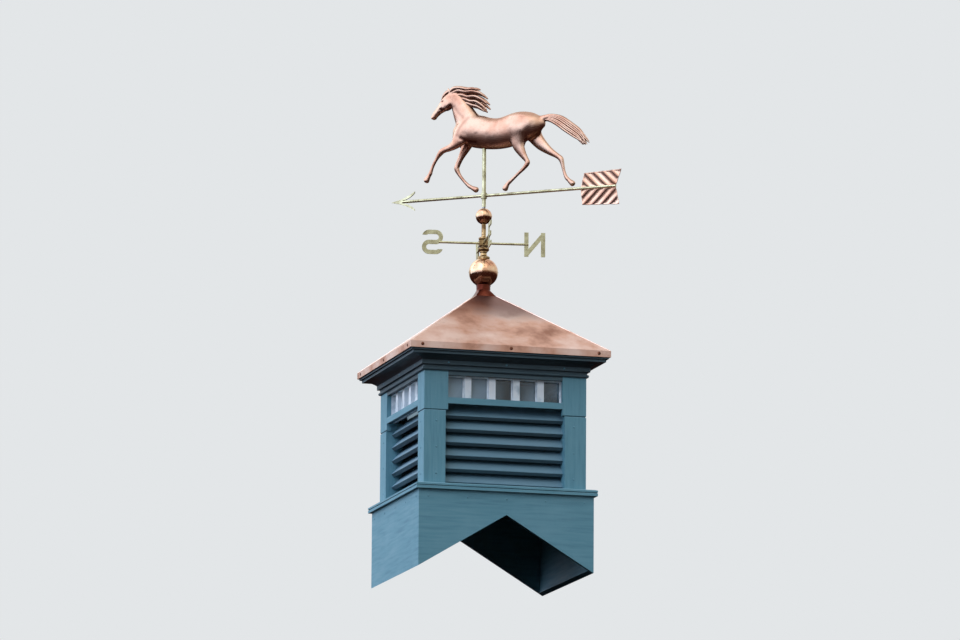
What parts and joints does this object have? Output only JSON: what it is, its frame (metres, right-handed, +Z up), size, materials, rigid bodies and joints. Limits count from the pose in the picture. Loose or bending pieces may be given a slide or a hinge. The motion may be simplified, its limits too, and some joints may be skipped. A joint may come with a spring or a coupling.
{
  "type": "cupola",
  "caption": "Louvred and glazed roof cupola that straddles a barn's ridge, with a hipped copper roof, compass arms and a turning horse weathervane.",
  "frame": {"origin": "on the floor, under the weathervane's axis, level with the lowest points of the base", "axes": "+Z up, -Y the front in the picture, the barn's ridge along Y, +X to the right"},
  "size_m": [0.9312, 0.875, 2.154],
  "materials": {
    "painted_wood": "satin blue-grey paint",
    "white_wood": "satin white paint",
    "bare_wood": "sawn",
    "window_glass": "clear",
    "copper": "new bright copper sheet",
    "brass": "bright brass",
    "steel": "plain rod"
  },
  "bodies": {
    "cupola": {"arm_east": "brass", "arm_north": "brass", "arm_south": "brass", "arm_west": "brass", "base_back": "painted_wood", "base_front": "painted_wood", "base_left": "painted_wood", "base_right": "painted_wood", "compass_hub": "brass", "copper_roof": "copper", "crown_back": "painted_wood", "crown_front": "painted_wood", "crown_left": "painted_wood", "crown_right": "painted_wood", "glass_back": "window_glass", "glass_front": "window_glass", "glass_left": "window_glass", "glass_right": "window_glass", "head_rails": "painted_wood", "large_globe": "copper", "louvre_back": "painted_wood", "louvre_front": "painted_wood", "louvre_left": "painted_wood", "louvre_posts": "painted_wood", "louvre_right": "painted_wood", "neck": "copper", "roof_deck": "bare_wood", "sash_back": "white_wood", "sash_front": "white_wood", "sash_left": "white_wood", "sash_right": "white_wood", "sill_back": "painted_wood", "sill_front": "painted_wood", "sill_left": "painted_wood", "sill_right": "painted_wood", "small_globe": "copper", "soffit": "painted_wood", "spindle": "steel", "window_posts": "painted_wood", "window_rails": "painted_wood"},
    "vane": {"vane_tube": "brass", "arrow_shaft": "brass", "arrow_head": "brass", "arrow_feather": "copper", "horse": "copper"}
  },
  "joints": [
    {"name": "vane_turn", "type": "hinge", "parent": "cupola", "child": "vane", "pos_m": [0, 0, 1.6614], "axis": [0, 0, 1], "continuous": true}
  ]
}
